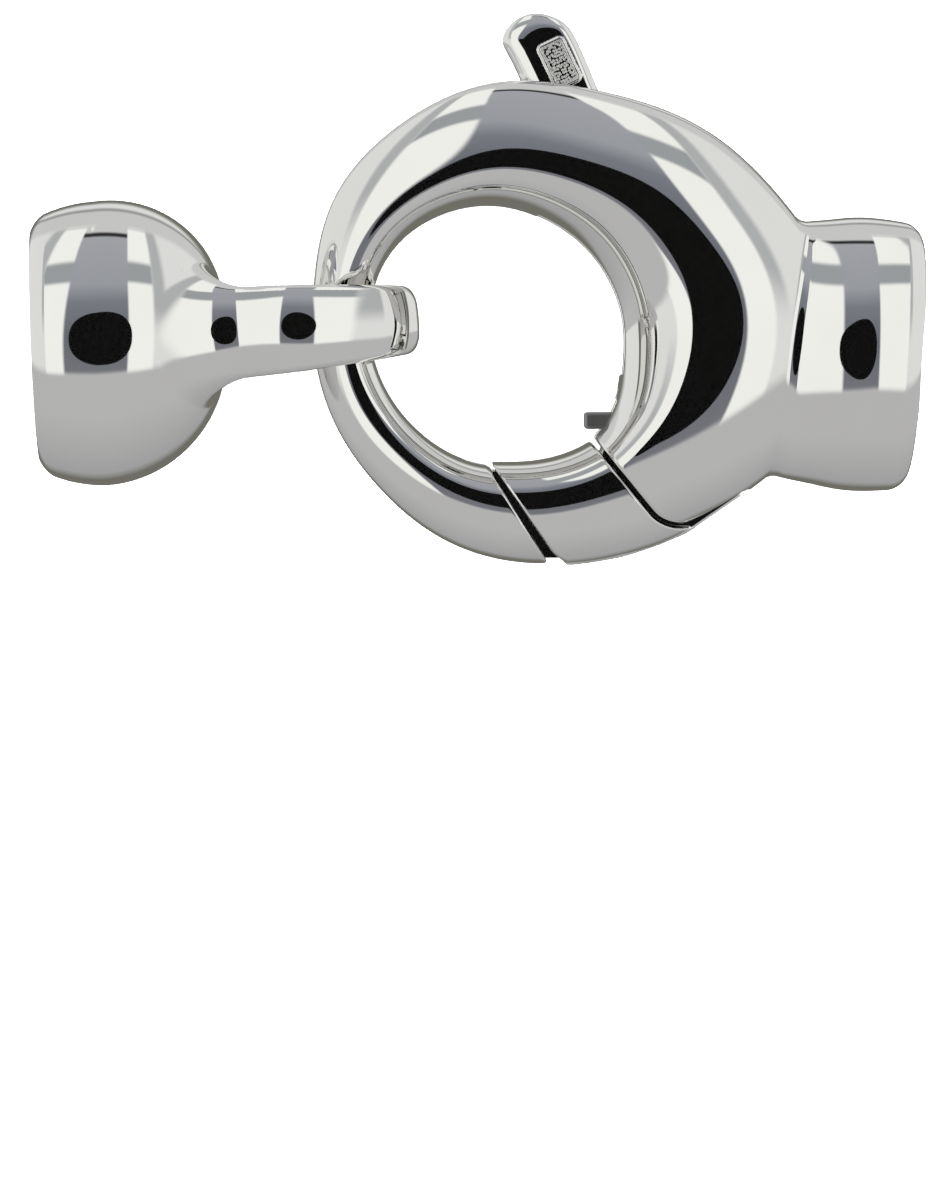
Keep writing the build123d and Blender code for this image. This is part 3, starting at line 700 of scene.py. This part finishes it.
marks = polishMarks()


def metalFinish(name, dark, light, base, spread, bump):
    material = bpy.data.materials.new(name)
    material.use_nodes = True
    tree = material.node_tree
    tree.nodes.clear()
    worn = addNode(tree, "ShaderNodeGroup", (-300, 0), node_tree=marks)
    for socket, value in (("Scale", 1.0), ("Base", base), ("Spread", spread)):
        worn.inputs[socket].default_value = value
    worn = worn.outputs
    inputs = {"Factor": worn["Tint"], "A": (*dark, 1), "B": (*light, 1)}
    tint = addNode(tree, "ShaderNodeMix", (100, 200), inputs, data_type="RGBA")
    inputs = {"Height": worn["Height"], "Strength": bump, "Distance": polish["dent"]}
    dent = addNode(tree, "ShaderNodeBump", (100, -300), inputs)
    shader = addNode(tree, "ShaderNodeBsdfPrincipled", (400, 0), {
        "Metallic": 1.0, "Base Color": tint.outputs["Result"], "Roughness": worn["Roughness"],
        "Normal": dent.outputs["Normal"]})
    addNode(tree, "ShaderNodeOutputMaterial", (700, 0), {"Surface": shader.outputs[0]})
    return material


polishedSilver = metalFinish("polishedSilver", (0.88, 0.87, 0.85), (0.93, 0.925, 0.91), 0.025, 0.02, 0.12)
pinSteel = metalFinish("pinSteel", (0.72, 0.72, 0.71), (0.80, 0.80, 0.79), 0.10, 0.06, 0.2)
springSteel = metalFinish("springSteel", (0.36, 0.35, 0.34), (0.46, 0.46, 0.45), 0.38, 0.12, 0.5)


# Stippled panel of the tab
stipple = {"rows": 14, "columns": 7, "pitch": 0.118, "bead": 0.062, "jitter": 0.04}


def stippleTree():  # beads on a small flat grid, each a little off its place
    tree = bpy.data.node_groups.new("stippleBeads", "GeometryNodeTree")
    tree.interface.new_socket("Geometry", in_out="INPUT", socket_type="NodeSocketGeometry")
    inputs = {}
    for name, kind, value in (("Rows", "NodeSocketInt", 12), ("Columns", "NodeSocketInt", 7),
                              ("Pitch", "NodeSocketFloat", 0.0001), ("Bead", "NodeSocketFloat", 0.00004),
                              ("Jitter", "NodeSocketFloat", 0.0), ("Finish", "NodeSocketMaterial", None)):
        socket = tree.interface.new_socket(name, in_out="INPUT", socket_type=kind)
        if value is not None:
            socket.default_value = value
        inputs[name] = socket.identifier
    tree.interface.new_socket("Geometry", in_out="OUTPUT", socket_type="NodeSocketGeometry")
    given = addNode(tree, "NodeGroupInput", (-900, 0)).outputs
    out = addNode(tree, "NodeGroupOutput", (900, 0))
    sizes = []
    for i, name in enumerate(("Rows", "Columns")):
        level = 200 - 200 * i
        steps = addNode(tree, "ShaderNodeMath", (-700, level), {0: given[name], 1: 1}, operation="SUBTRACT")
        size = addNode(tree, "ShaderNodeMath", (-550, level), {0: steps.outputs[0], 1: given["Pitch"]},
                       operation="MULTIPLY")
        sizes.append(size.outputs[0])
    grid = addNode(tree, "GeometryNodeMeshGrid", (-350, 100), {
        "Size X": sizes[0], "Size Y": sizes[1], "Vertices X": given["Rows"], "Vertices Y": given["Columns"]})
    scatter = addNode(tree, "FunctionNodeRandomValue", (-350, -250), {
        "Min": (-1, -1, 0), "Max": (1, 1, 0), "Seed": 7}, data_type="FLOAT_VECTOR")
    amount = addNode(tree, "ShaderNodeVectorMath", (-150, -250), {
        0: scatter.outputs["Value"], "Scale": given["Jitter"]}, operation="SCALE")
    spread = addNode(tree, "GeometryNodeSetPosition", (-100, 100), {
        "Geometry": grid.outputs["Mesh"], "Offset": amount.outputs[0]})
    bead = addNode(tree, "GeometryNodeMeshUVSphere", (-100, -500), {
        "Segments": 8, "Rings": 6, "Radius": given["Bead"]})
    smooth = addNode(tree, "GeometryNodeSetShadeSmooth", (100, -500), {"Geometry": bead.outputs["Mesh"]})
    rows = addNode(tree, "GeometryNodeInstanceOnPoints", (250, 100), {
        "Points": spread.outputs["Geometry"], "Instance": smooth.outputs["Geometry"]})
    real = addNode(tree, "GeometryNodeRealizeInstances", (450, 100), {"Geometry": rows.outputs["Instances"]})
    finish = addNode(tree, "GeometryNodeSetMaterial", (650, 100), {
        "Geometry": real.outputs["Geometry"], "Material": given["Finish"]})
    tree.links.new(finish.outputs["Geometry"], out.inputs["Geometry"])
    return tree, inputs


def makeStipple():
    tree, inputs = stippleTree()
    carrier = bpy.data.objects.new("stippleCarrier", bpy.data.meshes.new("stippleCarrier"))
    bpy.context.scene.collection.objects.link(carrier)
    modifier = carrier.modifiers.new("beads", "NODES")
    modifier.node_group = tree
    modifier[inputs["Rows"]] = stipple["rows"]
    modifier[inputs["Columns"]] = stipple["columns"]
    modifier[inputs["Pitch"]] = stipple["pitch"] / 1000
    modifier[inputs["Bead"]] = stipple["bead"] / 1000
    modifier[inputs["Jitter"]] = stipple["jitter"] / 1000
    modifier[inputs["Finish"]] = polishedSilver
    mesh = bpy.data.meshes.new_from_object(carrier.evaluated_get(bpy.context.evaluated_depsgraph_get()))
    carrier.modifiers.clear()
    points = np.empty(len(mesh.vertices) * 3)
    mesh.vertices.foreach_get("co", points)
    points = points.reshape(-1, 3) * 1000
    up = points[:, 0] + tab["frameMiddle"][0]
    right = points[:, 1] + tab["frameMiddle"][1]
    face = tabFace(up)
    up, right = up - tab["drop"], right - tab["left"]
    x = tabMiddle[0] + up * tabAxis[0] + right * tabAxis[1]
    y = tabMiddle[1] + up * tabAxis[1] - right * tabAxis[0]
    z = points[:, 2] + face - tab["pocket"]
    placed = (np.stack([x, y, z], 1) + ringShift) / 1000
    mesh.vertices.foreach_set("co", placed.ravel())
    mesh.flip_normals()  # its frame is left-handed
    mesh.update()
    carrier.data = mesh
    carrier.name = mesh.name = "tabStipple"
    return carrier


tabStipple = makeStipple()
print("stipple made", len(tabStipple.data.polygons))

for piece, material in ((claspBody, polishedSilver), (triggerLever, polishedSilver),
                        (looseCup, polishedSilver), (springLeg, springSteel)):
    piece.data.materials.clear()
    piece.data.materials.append(material)
frame["nodes"]["pivot_pin"].data.materials.clear()
frame["nodes"]["pivot_pin"].data.materials.append(pinSteel)


# Studio
studio = {
    "cameraAt": (0.000115, -0.001527, 0.1693), "aim": (0.000057, -0.011976, 0.0043), "lens": 128.15,
    "floorTone": 0.9, "lampPower": 8.0,
    "lampSize": 0.5, "lampHeight": 0.35, "floorHalf": 2.0,
    "cardHalf": (0.084, 0.064), "cardMiddle": 0.011, "cardHeight": 0.172, "cardFullness": 0.85,
    # edges of the lights, as sideways or upward slopes of the metal that mirrors them
    "strip": 0.225, "stripFoot": 0.02, "stripFootAt": (0.6, 0.0), "stripEdge": 0.012,
    "panelSide": (0.47, 0.52), "panelFoot": (-0.24, -0.19), "panelTop": (1.28, 1.36),
    "postSide": (0.60, 0.70), "postFoot": (0.0, 0.3), "postTop": (1.28, 1.5), "postShade": 0.75,
    "railFoot": (0.45, 0.50), "railTop": (0.66, 0.74),
    "under": (-0.84, -0.94),  # from how far down the floor is darker
}


def tone(r, g, b):  # typed as display values
    return tuple(((v / 255 + 0.055) / 1.055) ** 2.4 if v > 10 else v / 255 / 12.92 for v in (r, g, b)) + (1,)


def makeCamera():
    camera = bpy.data.objects.new("camera", bpy.data.cameras.new("camera"))
    camera.data.lens = studio["lens"]
    camera.data.sensor_width = 36
    camera.data.sensor_fit = "AUTO"
    camera.data.clip_start = 0.005
    camera.location = studio["cameraAt"]
    way = np.array(studio["aim"]) - np.array(studio["cameraAt"])
    back = -way / np.linalg.norm(way)
    side = np.cross([0, 1, 0], back)
    side /= np.linalg.norm(side)
    up = np.cross(back, side)
    camera.rotation_euler = Matrix(np.stack([side, up, back], 1).tolist()).to_euler()
    bpy.context.scene.collection.objects.link(camera)
    bpy.context.scene.camera = camera


def plainTone(name, colour):
    material = bpy.data.materials.new(name)
    material.use_nodes = True
    shader = material.node_tree.nodes["Principled BSDF"]
    shader.inputs["Base Color"].default_value = colour
    shader.inputs["Roughness"].default_value = 0.9
    shader.inputs["Specular IOR Level"].default_value = 0.0
    return material


def flatSheet(name, rim, material):
    mesh = bpy.data.meshes.new(name)
    mesh.from_pydata([tuple(map(float, point)) for point in rim], [], [tuple(range(len(rim)))])
    sheet = bpy.data.objects.new(name, mesh)
    bpy.context.scene.collection.objects.link(sheet)
    mesh.materials.append(material)
    return sheet


def makeWorld():
    world = bpy.data.worlds.new("studio")
    bpy.context.scene.world = world
    world.use_nodes = True
    tree = world.node_tree
    tree.nodes.clear()

    def maths(operation, *values):
        return addNode(tree, "ShaderNodeMath", inputs=dict(enumerate(values)), operation=operation).outputs[0]

    def edge(value, low, high):  # from 0 at low to 1 at high
        if low > high:
            return maths("SUBTRACT", 1.0, edge(value, high, low))
        inputs = {"Value": value, "From Min": low, "From Max": high}
        return addNode(tree, "ShaderNodeMapRange", inputs=inputs, interpolation_type="SMOOTHSTEP").outputs[0]

    def between(value, foot, top):  # 1 between two soft edges
        return maths("SUBTRACT", edge(value, *studio[foot]), edge(value, *studio[top]))

    def ramp(value, stops):
        node = addNode(tree, "ShaderNodeValToRGB")
        tree.links.new(value, node.inputs[0])
        elements = node.color_ramp.elements
        while len(elements) < len(stops):
            elements.new(1.0)
        for element, (at, colour) in zip(elements, stops):
            element.position = at
            element.color = colour
        return node.outputs[0]

    def mix(factor, a, b):
        inputs = {"Factor": factor, "A": a, "B": b}
        return addNode(tree, "ShaderNodeMix", inputs=inputs, data_type="RGBA").outputs["Result"]

    def at(steep):  # place on the ramps of a slope
        return np.degrees(np.arctan(steep)) / 180 + 0.5

    way = addNode(tree, "ShaderNodeTexCoord")
    parts = addNode(tree, "ShaderNodeSeparateXYZ")
    tree.links.new(way.outputs["Generated"], parts.inputs[0])
    ahead = maths("MAXIMUM", maths("ADD", parts.outputs["Z"], 1.0), 0.001)
    px = maths("ABSOLUTE", maths("DIVIDE", parts.outputs["X"], ahead))
    py = maths("DIVIDE", parts.outputs["Y"], ahead)
    turn = maths("ADD", maths("DIVIDE", maths("ARCTANGENT", py), pi), 0.5)
    white, pale, band = tone(248, 249, 246), tone(226, 227, 226), tone(158, 162, 165)
    middle, low, olive = tone(186, 186, 187), tone(164, 165, 166), tone(114, 113, 106)
    grey, dim = tone(204, 205, 205), tone(140, 141, 142)
    outer = ramp(turn, [
        (0.0, olive), (at(-3.1), olive), (at(-2.1), low), (at(-0.6), middle), (at(-0.24), middle),
        (at(-0.18), pale), (at(1.3), pale), (at(1.5), grey), (at(2.2), grey), (at(2.45), dim),
        (at(2.9), pale), (1.0, pale)])
    strip = ramp(turn, [
        (0.0, olive), (at(-3.1), olive), (at(-2.1), low), (at(-0.6), middle), (at(-0.225), middle),
        (at(-0.195), tone(118, 120, 126)), (at(0.05), tone(106, 110, 117)), (at(0.30), tone(124, 127, 135)),
        (at(0.45), tone(158, 161, 168)), (at(1.08), tone(166, 168, 174)), (at(1.11), tone(40, 40, 42)),
        (at(1.17), tone(40, 40, 42)), (at(1.22), grey), (at(2.2), grey), (at(2.45), dim), (at(2.9), pale),
        (1.0, pale)])
    # white panels beside the strip, with a grey frame round them
    panel = maths("SUBTRACT", 1.0, edge(px, *studio["panelSide"]))
    upper = between(py, "panelFoot", "panelTop")
    rail = between(py, "railFoot", "railTop")
    post = maths("MULTIPLY", between(px, "panelSide", "postSide"), between(py, "postFoot", "postTop"))
    outside = mix(maths("MULTIPLY", panel, upper), outer, white)
    outside = mix(maths("MULTIPLY", panel, rail), outside, band)
    outside = mix(maths("MULTIPLY", post, studio["postShade"]), outside, band)
    widened = maths("MULTIPLY", edge(py, *studio["stripFootAt"]), studio["stripFoot"])
    stripWide = maths("ADD", studio["strip"], widened)
    soft = studio["stripEdge"]
    stripMask = maths("SUBTRACT", 1.0, edge(maths("SUBTRACT", px, stripWide), -soft, soft))
    scene = mix(stripMask, outside, strip)
    under = edge(parts.outputs["Z"], *studio["under"])  # low on the floor it is darker and warmer
    scene = mix(under, scene, olive)
    seen = addNode(tree, "ShaderNodeLightPath")
    colour = mix(seen.outputs["Is Camera Ray"], scene, (1, 1, 1, 1))
    background = addNode(tree, "ShaderNodeBackground", inputs={"Color": colour})
    addNode(tree, "ShaderNodeOutputWorld", inputs={"Surface": background.outputs[0]})


def makeStudio():
    far = studio["floorHalf"]
    corners = [(-far, -far, 0), (far, -far, 0), (far, far, 0), (-far, far, 0)]
    floor = flatSheet("floor", corners, plainTone("paleFloor", (studio["floorTone"],) * 3 + (1,)))
    floor.visible_glossy = False
    turns = np.linspace(0, 2 * pi, 64, endpoint=False)
    full = studio["cardFullness"]
    across, along = np.cos(turns), np.sin(turns)
    across = np.abs(across) ** full * np.sign(across) * studio["cardHalf"][0]
    along = np.abs(along) ** full * np.sign(along) * studio["cardHalf"][1] + studio["cardMiddle"]
    rim = [(x, y, studio["cardHeight"]) for x, y in zip(across, along)]
    card = flatSheet("cameraCard", rim, plainTone("cameraBlack", (0.002, 0.002, 0.002, 1)))
    card.visible_camera = False
    card.visible_shadow = False
    card.visible_diffuse = False
    lamp = bpy.data.objects.new("softLamp", bpy.data.lights.new("softLamp", "AREA"))
    lamp.data.shape = "DISK"
    lamp.data.size = studio["lampSize"]
    lamp.data.energy = studio["lampPower"]
    lamp.location = (0, 0, studio["lampHeight"])
    lamp.visible_glossy = False
    lamp.visible_camera = False
    bpy.context.scene.collection.objects.link(lamp)


makeCamera()
makeWorld()
makeStudio()
bpy.context.scene.view_settings.view_transform = "Standard"
print("studio made")

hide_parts("clasp_body")
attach(claspBody, "casting")
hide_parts("trigger_lever")
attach(triggerLever, "lever")
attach(tabStipple, "lever")
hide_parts("return_spring")
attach(springLeg, "lever")
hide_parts("end_cap")
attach(looseCup, "loose_end")
